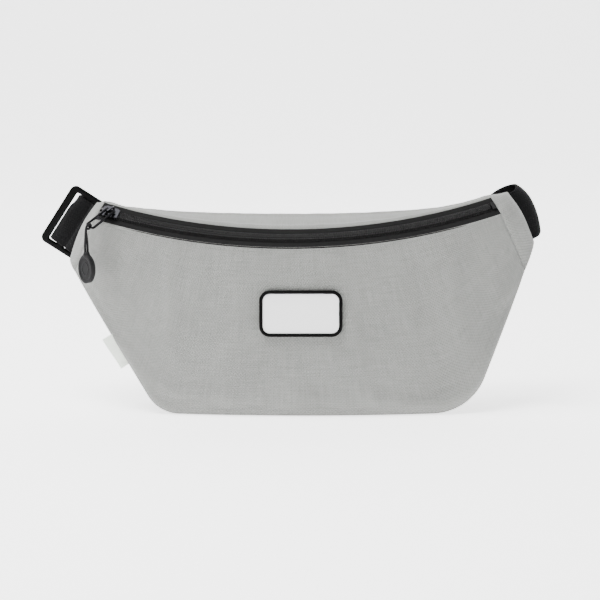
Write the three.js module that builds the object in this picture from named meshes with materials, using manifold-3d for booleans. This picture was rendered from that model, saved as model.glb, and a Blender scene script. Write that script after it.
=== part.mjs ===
// A zipped waist pack: a soft gusseted bag with a curved coil zip across its upper front, a blank framed badge,
// and a webbing belt that folds back behind it, with a tri-glide at the left end and a side-release buckle in two halves.
// Millimetres, +Z up. X runs along the bag, the front faces -Y, and the bag stands on Z = 0.
import * as THREE from 'three';
import { mergeVertices } from 'three/addons/utils/BufferGeometryUtils.js';
import Module from 'manifold-3d';

const wasm = await Module();
wasm.setup();

const { PI, sin, cos, sqrt } = Math;
const rad = THREE.MathUtils.degToRad;
const V2 = (x, y) => new THREE.Vector2(x, y);
const V3 = (x, y, z) => new THREE.Vector3(x, y, z);

// ---------- driving dimensions ----------
const FABRIC = 1.2;            // shell fabric with its backing
const GAP = 0.35;              // clearance between pieces that touch on the real bag
const BACK_Y = 26;             // outer face of the back panel
const END_Y = 23;              // where the front and back come together at each end, round the webbing

// Front outline: the side seams and the base, from the left end seam to the right one, in X and Z.
const OUTLINE = [V2(-170, 105), V2(-104, 0), V2(118, 0), V2(165.5, 117.3)];
const OUTLINE_RADII = [26, 40];
// Top edge of the back panel, in X and Z.
const TOP_EDGE = [V2(-150, 145), V2(-125, 140.5), V2(-80, 137), V2(0, 136), V2(60, 137.5), V2(98, 140.5),
  V2(128, 147.8), V2(146, 152.5)];

const SEAM_DEPTH = { end: 18, middle: 56 };   // back panel to front seam
const ZIP = {
  radius: 383,                 // the zip lies on one arc in a plane that leans back
  lean: rad(45),
  middle: V3(-11, -20, 125),
  leftReach: 134,              // half chords on each side of the lowest point
  rightReach: 146,
  halfBand: 8,                 // half of the tape that shows between the two fabric edges
};
const ZIP_LEFT = -Math.asin(ZIP.leftReach / ZIP.radius);
const ZIP_RIGHT = Math.asin(ZIP.rightReach / ZIP.radius);

const WEBBING = { width: 38, thickness: 1.5 };

// ---------- materials ----------
const finish = (color, roughness, metalness = 0) =>
  new THREE.MeshStandardMaterial({ color, roughness, metalness });
const GREY_FABRIC = finish(0xb4b6b3, 0.95);
const BACK_FABRIC = finish(0xa9aba9, 0.97);
const LINING_FABRIC = finish(0x55575a, 0.9);
const FOAM = finish(0xe6e6e2, 0.95);
const TAPE = finish(0x2b2b2b, 0.7);
const COIL = finish(0x232323, 0.45);
const DARK_METAL = finish(0x3b3b3d, 0.35, 0.9);
const RUBBER = finish(0x3c3c3d, 0.65);
const CORD = finish(0x262627, 0.8);
const BLACK_PLASTIC = finish(0x1c1c1d, 0.4);
const BLACK_WEBBING = finish(0x303031, 0.9);
const WHITE_PLATE = finish(0xfafafa, 0.5);
const LABEL_FABRIC = finish(0xe9f0e6, 0.95);

// ---------- closed meshes ----------
const bag = new THREE.Group();

function add(parent, name, geometry, material) {
  const mesh = new THREE.Mesh(geometry, material);
  mesh.name = name;
  parent.add(mesh);
  return mesh;
}

function signedVolume(points, faces) {
  return faces.reduce((sum, [a, b, c]) =>
    sum + points[a].dot(V3().crossVectors(points[b], points[c])) / 6, 0);
}

function closedGeometry(points, faces) {
  const facing = signedVolume(points, faces) < 0 ? faces.map(([a, b, c]) => [a, c, b]) : faces;
  const geometry = new THREE.BufferGeometry().setFromPoints(points);
  geometry.setIndex(facing.flat());
  return geometry;
}

// Two matching grids of points, joined round their edges into one plate.
function plate(outer, inner) {
  const rows = outer.length;
  const columns = outer[0].length;
  const points = [...outer.flat(), ...inner.flat()];
  const top = (i, j) => i * columns + j;
  const under = (i, j) => rows * columns + top(i, j);
  const faces = [];
  const quad = (a, b, c, d) => faces.push([a, b, c], [a, c, d]);
  for (let i = 0; i < rows - 1; i++) {
    for (let j = 0; j < columns - 1; j++) {
      quad(top(i, j), top(i + 1, j), top(i + 1, j + 1), top(i, j + 1));
      quad(under(i, j), under(i, j + 1), under(i + 1, j + 1), under(i + 1, j));
    }
  }
  for (let i = 0; i < rows - 1; i++) {
    quad(top(i, 0), under(i, 0), under(i + 1, 0), top(i + 1, 0));
    quad(top(i, columns - 1), top(i + 1, columns - 1), under(i + 1, columns - 1), under(i, columns - 1));
  }
  for (let j = 0; j < columns - 1; j++) {
    quad(top(0, j), top(0, j + 1), under(0, j + 1), under(0, j));
    quad(top(rows - 1, j), under(rows - 1, j), under(rows - 1, j + 1), top(rows - 1, j + 1));
  }
  return closedGeometry(points, faces);
}

// The grid moved along its own normals, towards the point inside(i).
function offsetGrid(grid, distance, inside) {
  const at = (i, j) => grid[Math.min(Math.max(i, 0), grid.length - 1)][
    Math.min(Math.max(j, 0), grid[0].length - 1)];
  return grid.map((row, i) => row.map((point, j) => {
    const along = V3().subVectors(at(i + 1, j), at(i - 1, j));
    const across = V3().subVectors(at(i, j + 1), at(i, j - 1));
    const normal = V3().crossVectors(along, across).normalize();
    if (normal.dot(V3().subVectors(inside(i), point)) < 0) normal.negate();
    return point.clone().addScaledVector(normal, distance);
  }));
}

const layer = (grid, from, to, inside) =>
  plate(from ? offsetGrid(grid, from, inside) : grid, offsetGrid(grid, to, inside));

function manifoldOf(geometry, matrix = new THREE.Matrix4()) {
  const bare = (geometry.index ? geometry.toNonIndexed() : geometry.clone()).applyMatrix4(matrix);
  bare.deleteAttribute('normal');
  bare.deleteAttribute('uv');
  const merged = mergeVertices(bare, 1e-4);
  return new wasm.Manifold(new wasm.Mesh({
    numProp: 3,
    vertProperties: new Float32Array(merged.attributes.position.array),
    triVerts: new Uint32Array(merged.index.array),
  }));
}

function geometryOf(solid) {
  const mesh = solid.getMesh();
  const geometry = new THREE.BufferGeometry();
  geometry.setAttribute('position', new THREE.BufferAttribute(new Float32Array(mesh.vertProperties), 3));
  geometry.setIndex(new THREE.BufferAttribute(new Uint32Array(mesh.triVerts), 1));
  return geometry;
}

// A box given by its lowest and highest corners.
const block = (low, high) => manifoldOf(
  new THREE.BoxGeometry(high.x - low.x, high.y - low.y, high.z - low.z),
  new THREE.Matrix4().setPosition(V3().addVectors(low, high).multiplyScalar(0.5)));

// A polyline of 2D points thickened to both sides, as a closed outline.
function ribbonShape(points, thickness) {
  const side = (sign) => points.map((point, i) => {
    const before = points[Math.max(i - 1, 0)];
    const after = points[Math.min(i + 1, points.length - 1)];
    const into = V2().subVectors(point, before).normalize();
    const out = V2().subVectors(after, point).normalize();
    if (i === 0) into.copy(out);
    if (i === points.length - 1) out.copy(into);
    const mitre = V2().addVectors(into, out).normalize();
    const reach = thickness / 2 / Math.max(mitre.dot(into), 0.5);
    return V2(point.x - mitre.y * reach * sign, point.y + mitre.x * reach * sign);
  });
  return new THREE.Shape([...side(1), ...side(-1).reverse()]);
}

function extrude(shape, depth, centred = true, curveSegments = 6) {
  const geometry = new THREE.ExtrudeGeometry(shape, { depth, bevelEnabled: false, curveSegments });
  return centred ? geometry.translate(0, 0, -depth / 2) : geometry;
}

function roundedRectangle(width, height, radius) {
  const x = width / 2;
  const y = height / 2;
  const shape = new THREE.Shape();
  shape.moveTo(x, y - radius);
  shape.absarc(x - radius, y - radius, radius, 0, PI / 2);
  shape.absarc(-x + radius, y - radius, radius, PI / 2, PI);
  shape.absarc(-x + radius, -y + radius, radius, PI, 1.5 * PI);
  shape.absarc(x - radius, -y + radius, radius, 1.5 * PI, 2 * PI);
  return shape;
}

// ---------- the bag's boundary curves ----------
function roundedOutline(corners, radii) {
  const path = new THREE.Path();
  path.moveTo(corners[0].x, corners[0].y);
  radii.forEach((radius, i) => {
    const corner = corners[i + 1];
    const back = V2().subVectors(corners[i], corner).normalize();
    const ahead = V2().subVectors(corners[i + 2], corner).normalize();
    const half = Math.acos(back.dot(ahead)) / 2;
    const reach = radius / Math.tan(half);
    const start = corner.clone().addScaledVector(back, reach);
    const end = corner.clone().addScaledVector(ahead, reach);
    const centre = corner.clone().addScaledVector(V2().addVectors(back, ahead).normalize(), radius / sin(half));
    path.lineTo(start.x, start.y);
    path.absarc(centre.x, centre.y, radius, Math.atan2(start.y - centre.y, start.x - centre.x),
      Math.atan2(end.y - centre.y, end.x - centre.x), false);
  });
  path.lineTo(corners.at(-1).x, corners.at(-1).y);
  return path;
}
const seamPath = roundedOutline(OUTLINE, OUTLINE_RADII);
const topPath = new THREE.SplineCurve(TOP_EDGE);

// A point of the zip's plane: reach is the distance from the arc, outwards, and lift is the height off the plane.
const ZIP_CENTRE = ZIP.middle.clone().add(V3(0, cos(ZIP.lean), sin(ZIP.lean)).multiplyScalar(ZIP.radius));
function zipPoint(angle, reach = 0, lift = 0) {
  const radius = ZIP.radius + reach;
  return V3(radius * sin(angle), -radius * cos(angle), lift)
    .applyAxisAngle(V3(1, 0, 0), ZIP.lean).add(ZIP_CENTRE);
}

// Each station from 0, the left end seam, to 1, the right one, has a rib from the seam path up to the top edge.
const ribFoot = (s) => seamPath.getPoint(s);
const ribHead = (s) => topPath.getPointAt(s);

// The zip's angle where it crosses a station's rib, by bisection.
function zipAngle(s) {
  const foot = ribFoot(s);
  const rib = ribHead(s).sub(foot);
  const side = (angle) => {
    const point = zipPoint(angle);
    return (point.x - foot.x) * rib.y - (point.z - foot.y) * rib.x;
  };
  let low = -0.6;
  let high = 0.6;
  for (let i = 0; i < 40; i++) {
    const middle = (low + high) / 2;
    if (side(middle) < 0) low = middle; else high = middle;
  }
  return (low + high) / 2;
}

function stationOf(angle) {
  let low = 0;
  let high = 1;
  for (let i = 0; i < 40; i++) {
    const middle = (low + high) / 2;
    if (zipAngle(middle) < angle) low = middle; else high = middle;
  }
  return (low + high) / 2;
}
const FIRST = stationOf(ZIP_LEFT);
const LAST = stationOf(ZIP_RIGHT);

function seamDepth(s) {
  const along = Math.min(Math.max((s - FIRST) / (LAST - FIRST), 0), 1);
  return SEAM_DEPTH.end + (SEAM_DEPTH.middle - SEAM_DEPTH.end) * sin(PI * along) ** 0.7;
}

const frontSeam = (s) => V3(ribFoot(s).x, BACK_Y - seamDepth(s), ribFoot(s).y);
const backSeam = (s) => V3(ribFoot(s).x, BACK_Y - 1, ribFoot(s).y);
const topSeam = (s) => V3(ribHead(s).x, BACK_Y, ribHead(s).y);

// Front panel: from the zip's lower edge down to the front seam, bulging forward a little.
function frontPoint(s, v) {
  const start = zipPoint(zipAngle(s), ZIP.halfBand);
  const end = frontSeam(s);
  const down = V3().subVectors(end, start).setY(0).normalize();
  const third = start.distanceTo(end) / 3;
  return new THREE.CubicBezierCurve3(
    start,
    start.clone().addScaledVector(V3(down.x, -0.04, down.z), third),
    end.clone().addScaledVector(V3(-down.x, -0.2, -down.z), third),
    end).getPoint(v);
}

const basePoint = (s, v) => V3().lerpVectors(frontSeam(s), backSeam(s), v);

// Top panel: from the zip's upper edge back to the top edge, slightly domed.
function topPoint(s, v) {
  const point = V3().lerpVectors(zipPoint(zipAngle(s), -ZIP.halfBand), topSeam(s), v);
  point.z += 1.6 * sin(PI * v);
  return point;
}

// Back panel: flat at its edges and softly padded between them.
function backPoint(s, v) {
  const point = V3().lerpVectors(backSeam(s), topSeam(s), v);
  point.y = BACK_Y + 2.2 * sin(PI * v) * sin(PI * s);
  return point;
}

const insideAt = (s) => {
  const foot = ribFoot(s);
  const head = ribHead(s);
  return V3((foot.x + head.x) / 2, BACK_Y - 12, (foot.y + head.y) / 2);
};

const range = (count, from = 0, to = 1) =>
  Array.from({ length: count }, (_, i) => from + (to - from) * i / (count - 1));

function panelGrid(point, stations, shares) {
  return stations.map((s) => shares.map((v) => point(s, v)));
}

// ---------- shell, foam and lining ----------
const SEAM_INSET = 0.025;      // share of a panel's height that its neighbour's thickness takes at a seam
function buildShell() {
  const stations = range(27, FIRST + 0.002, LAST - 0.002);
  const inside = (i) => insideAt(stations[i]);
  add(bag, 'front_panel', layer(
    panelGrid(frontPoint, stations, range(9, 0, 1 - SEAM_INSET)), 0, FABRIC, inside), GREY_FABRIC);
  add(bag, 'base_panel', layer(panelGrid(basePoint, stations, range(4, 0.02, 0.98)), 0, FABRIC, inside), GREY_FABRIC);
  add(bag, 'top_panel', layer(panelGrid(topPoint, stations, range(4, 0, 0.95)), 0, FABRIC, inside), GREY_FABRIC);
  const allStations = range(27);
  add(bag, 'back_panel', layer(
    panelGrid(backPoint, allStations, range(5)), 0, FABRIC - 0.2,
    (i) => insideAt(allStations[i])), BACK_FABRIC);
}

// A soft pad that follows a panel, inside it.
function buildFoam(name, point, span, shares, thickness) {
  const stations = range(15, ...span);
  add(bag, name, layer(panelGrid(point, stations, range(7, ...shares)), FABRIC + GAP,
    FABRIC + GAP + thickness, (i) => insideAt(stations[i])), FOAM);
}

// The lining is a loop of thin cloth inside the foam, open along the zip.
const LINING_INSET = 6.2;
function buildLining() {
  const stations = range(17, 0.1, 0.9);
  const loop = (s) => {
    const inside = insideAt(s);
    const angle = zipAngle(s);
    const shrink = (point, by) => point.addScaledVector(V3().subVectors(inside, point).setX(0).normalize(), by);
    return [
      zipPoint(angle, 5, -LINING_INSET),
      ...[0.2, 0.45, 0.7, 0.88].map((v) => frontPoint(s, v).add(V3(0, LINING_INSET + 1, 0))),
      shrink(basePoint(s, 0.3), LINING_INSET),
      shrink(basePoint(s, 0.7), LINING_INSET),
      ...[0.14, 0.4, 0.65, 0.94].map((v) => backPoint(s, v).add(V3(0, -LINING_INSET, 0))),
      shrink(topSeam(s), LINING_INSET * 1.7),
      zipPoint(angle, -5, -LINING_INSET),
    ];
  };
  const grid = stations.map(loop);
  add(bag, 'lining', layer(grid, 0, 0.5, (i) => insideAt(stations[i])), LINING_FABRIC);
}

// Each end closes in a blunt nose, from the last section to the end seam, with a slot for the webbing.
function buildEndCap(name, station, seamStation) {
  const foot = ribFoot(seamStation);
  const head = ribHead(seamStation);
  const section = [
    ...[0.96, 0.45].map((v) => basePoint(station, v)),
    ...[1, 0.85, 0.65, 0.45, 0.25, 0.1, 0].map((v) => frontPoint(station, v)),
    zipPoint(zipAngle(station)),
    ...[0, 0.35, 0.7, 0.92].map((v) => topPoint(station, v)),
  ];
  const ribBottom = ribFoot(station);
  const rib = ribHead(station).sub(ribBottom);
  const turns = range(6, rad(3), rad(85));
  const grid = turns.map((turn) => section.map((point) => {
    const height = ((point.x - ribBottom.x) * rib.x + (point.z - ribBottom.y) * rib.y) / rib.lengthSq();
    const end = V2().lerpVectors(foot, head, Math.min(Math.max(height, 0), 1));
    return V3(end.x + (point.x - end.x) * (1 - sin(turn)), END_Y + (point.y - END_Y) * cos(turn),
      end.y + (point.z - end.y) * (1 - sin(turn)));
  }));
  const heart = insideAt(station).setX(insideAt(station + (station < 0.5 ? 0.03 : -0.03)).x);
  add(bag, name, layer(grid, 0, FABRIC - 0.2, () => heart), GREY_FABRIC);
}

// ---------- zip ----------
const TAPE_TOP = -0.4;
const CHAIN = { inner: 0.8, outer: 2.9, bottom: -0.1, top: 1.1 };
const perMillimetre = 1 / ZIP.radius;

// Everything on the zip is drawn flat, about the arc's centre, and leaned back as one.
const zipPlane = new THREE.Group();
zipPlane.position.copy(ZIP_CENTRE);
zipPlane.rotation.x = ZIP.lean;
bag.add(zipPlane);

// A band of the zip's plane between two distances from the arc, extruded from one height to another.
function zipBand(name, near, far, low, high, from, to, material) {
  const angles = range(33, from, to);
  const edge = (reach) => angles.map((angle) =>
    V2((ZIP.radius + reach) * sin(angle), -(ZIP.radius + reach) * cos(angle)));
  const shape = new THREE.Shape([...edge(far), ...edge(near).reverse()]);
  add(zipPlane, name, extrude(shape, high - low, false).translate(0, 0, low), material);
}

function buildZip() {
  const tapeFrom = ZIP_LEFT + 0.4 * perMillimetre;
  const tapeTo = ZIP_RIGHT - 0.4 * perMillimetre;
  const chainFrom = ZIP_LEFT + 2.6 * perMillimetre;
  const chainTo = ZIP_RIGHT - 4.2 * perMillimetre;
  const tapeEdge = ZIP.halfBand - FABRIC - GAP;
  for (const [name, sign] of [['lower', 1], ['upper', -1]]) {
    zipBand(`zip_tape_${name}`, ...[CHAIN.inner * sign, tapeEdge * sign].sort((a, b) => a - b),
      TAPE_TOP - 0.6, TAPE_TOP, tapeFrom, tapeTo, TAPE);
    zipBand(`zip_coil_${name}`, ...[CHAIN.inner * sign, CHAIN.outer * sign].sort((a, b) => a - b),
      CHAIN.bottom, CHAIN.top, chainFrom, chainTo, COIL);
    const stop = atZip(`top_stop_${name}`, ZIP_LEFT + 1.3 * perMillimetre);
    const [stopLow, stopHigh] = [0.9 * sign, 2.6 * sign].sort((a, b) => a - b);
    add(stop, `zip_top_stop_${name}`,
      geometryOf(block(V3(-0.9, stopLow, CHAIN.bottom), V3(0.9, stopHigh, CHAIN.top))), DARK_METAL);
  }
  const end = atZip('bottom_stop', ZIP_RIGHT - 2.3 * perMillimetre);
  add(end, 'zip_bottom_stop', new THREE.BoxGeometry(3, 6, 1.6).translate(0, 0, 0.7), DARK_METAL);
}

// A group whose origin is on the arc at an angle, with X along the zip to the right and -Y outwards.
function atZip(label, angle) {
  const place = new THREE.Group();
  place.rotation.z = angle;
  zipPlane.add(place);
  const shifted = new THREE.Group();
  shifted.position.y = -ZIP.radius;
  place.add(shifted);
  return shifted;
}

// ---------- slider and pull ----------
const SLIDER = { length: 12, width: 9.6, top: [1.5, 2.6], bottom: [-3.4, -2.3] };
const SLIDER_ANGLE = ZIP_LEFT + (2.6 + SLIDER.length / 2) * perMillimetre;
const BRIDGE = { post: 3, height: 3.5, width: 1.2, wire: 1 };
const PULL_AXIS_HEIGHT = 4.2;

const TAB = { length: 24, width: 7.2, rail: 1.1, thickness: 1.2, turn: rad(75), lift: rad(14), bridgeTurn: rad(60) };

function buildSlider(place) {
  const { length, width, top, bottom } = SLIDER;
  const x = length / 2;
  const y = width / 2;
  const plateShape = new THREE.Shape([V2(-x, -y + 1.5), V2(-x + 2.5, -y), V2(x, -y * 0.72), V2(x, y * 0.72),
    V2(-x + 2.5, y), V2(-x, y - 1.5)]);
  const plateAt = ([low, high]) => manifoldOf(extrude(plateShape, high - low, false),
    new THREE.Matrix4().setPosition(0, 0, low));
  let body = plateAt(top).add(plateAt(bottom));
  body = body.add(block(V3(-x + 0.8, -0.45, bottom[0] + 0.2), V3(-x + 4.4, 0.45, top[1] - 0.2)));
  for (const sign of [-1, 1]) {
    const lip = [3.45 * sign, 4.2 * sign].sort((a, b) => a - b);
    body = body.add(block(V3(-x + 2.6, lip[0], 0.1), V3(x - 1.5, lip[1], top[1] - 0.2)));
    body = body.add(block(V3(-x + 2.6, lip[0], bottom[0] + 0.2), V3(x - 1.5, lip[1], TAPE_TOP - 0.6 - GAP)));
  }
  add(place, 'slider_body', geometryOf(body), DARK_METAL);

  const { post, height, width: across, wire } = BRIDGE;
  const foot = top[1] + GAP;
  const outer = post + wire / 2;
  const inner = post - wire / 2;
  const arch = new THREE.Shape([V2(-outer, foot), V2(-outer, foot + height - 0.8), V2(-outer + 0.8, foot + height),
    V2(outer - 0.8, foot + height), V2(outer, foot + height - 0.8), V2(outer, foot), V2(inner, foot),
    V2(inner, foot + height - wire), V2(-inner, foot + height - wire), V2(-inner, foot)]);
  const bridge = add(place, 'slider_bridge', extrude(arch, across).rotateX(PI / 2), DARK_METAL);
  bridge.rotation.z = TAB.bridgeTurn;
}

// The tab is a two-window link whose first bar passes under the bridge.
function buildTab(place) {
  const { length, width, rail, thickness } = TAB;
  const shape = new THREE.Shape();
  const half = width / 2;
  shape.moveTo(-rail / 2, -half);
  shape.lineTo(length - 2.5, -half);
  shape.absarc(length - 2.5, -half + 2.5, 2.5, -PI / 2, 0);
  shape.absarc(length - 2.5, half - 2.5, 2.5, 0, PI / 2);
  shape.lineTo(-rail / 2, half);
  let link = manifoldOf(extrude(shape, thickness));
  for (const [from, to] of [[rail / 2, 11], [13, length - rail]]) {
    link = link.subtract(block(V3(from, -half + rail, -2), V3(to, half - rail, 2)));
  }
  add(place, 'pull_tab', geometryOf(link), DARK_METAL);
}

// The cord is a hairpin round the tab's last bar, and the disc is moulded on its two ends.
const PULLER = { cord: 1.6, turn: 1.75, hang: 20, sway: -3, disc: { width: 14.5, height: 20.5, thickness: 4 } };

function buildPull() {
  const slider = atZip('slider', SLIDER_ANGLE);
  buildSlider(slider);
  const tabPlace = new THREE.Group();
  tabPlace.position.z = PULL_AXIS_HEIGHT;
  tabPlace.rotation.set(0, 0, PI + TAB.turn);
  slider.add(tabPlace);
  const tilted = new THREE.Group();
  tilted.rotation.y = -TAB.lift;
  tabPlace.add(tilted);
  buildTab(tilted);
  bag.updateMatrixWorld(true);
  const lastBar = TAB.length - TAB.rail / 2;
  const eye = V3(lastBar, 0, 0).applyMatrix4(tilted.matrixWorld);
  const along = V3(1, 0, 0).transformDirection(tilted.matrixWorld);
  const across = V3(0, 1, 0).transformDirection(tilted.matrixWorld);
  const up = V3(0, 0, 1).transformDirection(tilted.matrixWorld);
  buildPuller(eye, along, across, up);
}

function buildPuller(eye, along, across, up) {
  const { cord, turn, hang, sway, disc } = PULLER;
  const discTop = eye.clone().add(V3(0, 0, -hang)).addScaledVector(across, sway);
  const strandStep = cord * 0.56;
  const sideways = V3(sin(rad(35)), -cos(rad(35)), 0).cross(V3(0, 0, 1)).normalize();
  const strand = (sign) => [
    discTop.clone().addScaledVector(sideways, strandStep * sign),
    discTop.clone().addScaledVector(sideways, strandStep * sign).add(V3(0, 0, 7)),
    eye.clone().addScaledVector(along, 3.4).addScaledVector(up, 1.3 * sign),
    eye.clone().addScaledVector(up, turn * sign),
  ];
  const bend = [45, 90, 135].map((degrees) => eye.clone()
    .addScaledVector(up, turn * cos(rad(degrees)))
    .addScaledVector(along, -turn * sin(rad(degrees))));
  const route = new THREE.CatmullRomCurve3([...strand(1), ...bend, ...strand(-1).reverse()], false, 'centripetal');
  const section = new THREE.Shape(range(8).slice(0, 7).map((share) =>
    V2(cord / 2 * cos(2 * PI * share), cord / 2 * sin(2 * PI * share))));
  add(bag, 'puller_cord', new THREE.ExtrudeGeometry(section, { steps: 22, extrudePath: route, bevelEnabled: false }),
    CORD);

  const outline = new THREE.Shape(range(25).slice(0, 24).map((share) => {
    const turnAngle = 2 * PI * share;
    const pinch = 1 - 0.16 * Math.max(sin(turnAngle), 0) ** 3;
    return V2(disc.width / 2 * cos(turnAngle) * pinch, disc.height / 2 * sin(turnAngle));
  }));
  const tag = add(bag, 'puller_disc', extrude(outline, disc.thickness), RUBBER);
  tag.rotation.order = 'ZXY';
  tag.rotation.set(PI / 2, 0, rad(-40));
  tag.position.copy(discTop).add(V3(0, 0, -disc.height / 2 - 0.6));
}

// ---------- badge and label ----------
const BADGE = { width: 58, height: 32.5, corner: 7.5, border: 2.3, frameDepth: 2.1, plateDepth: 1.1, station: 0.4865 };

function buildBadge() {
  const share = 0.385;
  const centre = frontPoint(BADGE.station, share);
  const along = V3().subVectors(frontPoint(BADGE.station + 0.01, share), frontPoint(BADGE.station - 0.01, share));
  const down = V3().subVectors(frontPoint(BADGE.station, share + 0.05), frontPoint(BADGE.station, share - 0.05));
  const normal = V3().crossVectors(down, along).normalize();
  if (normal.y > 0) normal.negate();
  const badge = new THREE.Group();
  const x = V3(1, 0, 0).addScaledVector(normal, -normal.x).normalize();
  badge.quaternion.setFromRotationMatrix(new THREE.Matrix4().makeBasis(x, V3().crossVectors(normal, x), normal));
  badge.position.copy(centre).addScaledVector(normal, 0.5);
  bag.add(badge);
  const frame = roundedRectangle(BADGE.width, BADGE.height, BADGE.corner);
  const inner = BADGE.border * 2;
  frame.holes.push(roundedRectangle(BADGE.width - inner, BADGE.height - inner, BADGE.corner - BADGE.border));
  add(badge, 'badge_frame', extrude(frame, BADGE.frameDepth, false), BLACK_PLASTIC);
  const plateShape = roundedRectangle(BADGE.width - inner - 2 * GAP, BADGE.height - inner - 2 * GAP,
    BADGE.corner - BADGE.border - GAP);
  add(badge, 'badge_plate', extrude(plateShape, BADGE.plateDepth, false), WHITE_PLATE);
}

const LABEL = { station: 0.155, length: 25, reach: 6.5, thickness: 0.8 };
function buildSideLabel() {
  const foot = ribFoot(LABEL.station);
  const side = seamPath.getTangent(LABEL.station);
  const label = add(bag, 'side_label',
    new THREE.BoxGeometry(LABEL.length, LABEL.reach, LABEL.thickness)
      .translate(0, -LABEL.reach / 2 - GAP, 0).rotateX(PI / 2), LABEL_FABRIC);
  label.position.set(foot.x, frontSeam(LABEL.station).y + 2, foot.y);
  label.rotation.y = -Math.atan2(side.y, side.x);
}

// ---------- belt ----------
// Each end of the belt is drawn in its own frame: X points out of the bag, Y to the back, and Z across the webbing.
const LEFT = { direction: rad(180 + 33), seat: V3(-160, 0, 125) };
const RIGHT = { direction: rad(-29), seat: V3(155.75, 0, 134.9) };
function beltFrame({ direction, seat }) {
  const frame = new THREE.Group();
  frame.position.copy(seat);
  frame.rotation.y = direction;
  bag.add(frame);
  return frame;
}

function webbing(parent, name, route) {
  add(parent, name, extrude(ribbonShape(route, WEBBING.thickness), WEBBING.width), BLACK_WEBBING);
}

// Points round a fold from one angle to another, in degrees.
const fold = (x, y, radius, from, to, steps = 8) => range(steps + 1, rad(from), rad(to))
  .map((angle) => V2(x + radius * cos(angle), y + radius * sin(angle)));

const GLIDE = { length: 48, width: 30, thickness: 3.2, bar: 5.5, slot: 39.6, centre: V2(8.9, 29.5), middleBar: [5, 2] };
const LEFT_FOLD = { x: 11.2, y: 31.35, radius: 4.5 };
const RIGHT_FOLD = { x: 1.5, y: 29, radius: 6 };
const LAYER_STEP = 1.9;
const BELT_START = 3;          // the belt starts this far before its hinge line

function buildGlide(frame) {
  const { length, width, thickness, bar, slot, centre, middleBar } = GLIDE;
  const shape = roundedRectangle(width, length, 4);
  const hole = new THREE.Path();
  const x = width / 2 - bar;
  [V2(-x, -slot / 2), V2(x, -slot / 2), V2(x, slot / 2), V2(-x, slot / 2)]
    .forEach((point, i) => (i ? hole.lineTo(point.x, point.y) : hole.moveTo(point.x, point.y)));
  shape.holes.push(hole);
  const ring = manifoldOf(extrude(shape, thickness));
  const middle = block(V3(-middleBar[0] / 2, -slot / 2 - 1, -middleBar[1] / 2),
    V3(middleBar[0] / 2, slot / 2 + 1, middleBar[1] / 2));
  const glide = add(frame, 'tri_glide', geometryOf(ring.add(middle)).rotateX(PI / 2), BLACK_PLASTIC);
  glide.position.set(centre.x, centre.y, 0);
}

const MALE = { bar: V2(-118, 38.6), width: 46, rail: 3, thickness: 5, railEnd: -134, shoulderEnd: -140, tip: -166 };
const WRAP = 2.75;             // radius of the webbing round a buckle's bar

function buildMaleBuckle(frame) {
  const { bar, width, rail, thickness, railEnd, shoulderEnd, tip } = MALE;
  const half = width / 2;
  const low = bar.y - thickness / 2;
  const high = bar.y + thickness / 2;
  let body = block(V3(shoulderEnd, low, -half), V3(railEnd, high, half));
  body = body.add(block(V3(bar.x - 1.3, bar.y - 1.3, -half + 0.5), V3(bar.x + 1.3, bar.y + 1.3, half - 0.5)));
  body = body.add(block(V3(tip + 8, low + 1, -4.5), V3(shoulderEnd + 1, high - 1, 4.5)));
  for (const sign of [-1, 1]) {
    const edge = [sign * (half - rail), sign * half].sort((a, b) => a - b);
    body = body.add(block(V3(railEnd - 1, low, edge[0]), V3(bar.x + 4, high, edge[1])));
  }
  add(frame, 'male_buckle', geometryOf(body), BLACK_PLASTIC);
  for (const [name, sign] of [['upper', -1], ['lower', 1]]) {
    const arm = new THREE.Shape([V2(shoulderEnd - 0.6, 14), V2(shoulderEnd - 0.6, 18), V2(-150, 18.4), V2(-153, 22.5),
      V2(-157, 22.5), V2(tip, 17), V2(tip, 15), V2(-150, 14.6)].map((point) => V2(point.x, point.y * sign)));
    const mesh = add(frame, `male_arm_${name}`, extrude(arm, thickness).rotateX(PI / 2), BLACK_PLASTIC);
    mesh.position.y = bar.y;
  }
}

const FEMALE = { bar: V2(-112, 37.75), width: 50, thickness: 10, back: -120, mouth: -158, wall: 1.6 };
function buildFemaleBuckle(frame) {
  const { bar, width, thickness, back, mouth, wall } = FEMALE;
  const half = width / 2;
  const low = bar.y - thickness / 2;
  const high = bar.y + thickness / 2;
  let body = block(V3(mouth, low, -half), V3(back, high, half));
  body = body.subtract(block(V3(mouth - 1, low + wall, -half + wall), V3(back - 3, high - wall, half - wall)));
  for (const sign of [-1, 1]) {
    const side = [sign * (half - 4), sign * (half + 1)].sort((a, b) => a - b);
    body = body.subtract(block(V3(-143, low - 1, side[0]), V3(-129, high + 1, side[1])));
    const rail = [sign * (half - 4.4), sign * (half - 1)].sort((a, b) => a - b);
    body = body.add(block(V3(back - 1, bar.y - 2.5, rail[0]), V3(bar.x + 3, bar.y + 2.5, rail[1])));
  }
  body = body.add(block(V3(bar.x - 1.3, bar.y - 1.3, -half + 2), V3(bar.x + 1.3, bar.y + 1.3, half - 2)));
  add(frame, 'female_buckle', geometryOf(body), BLACK_PLASTIC);
}

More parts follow.
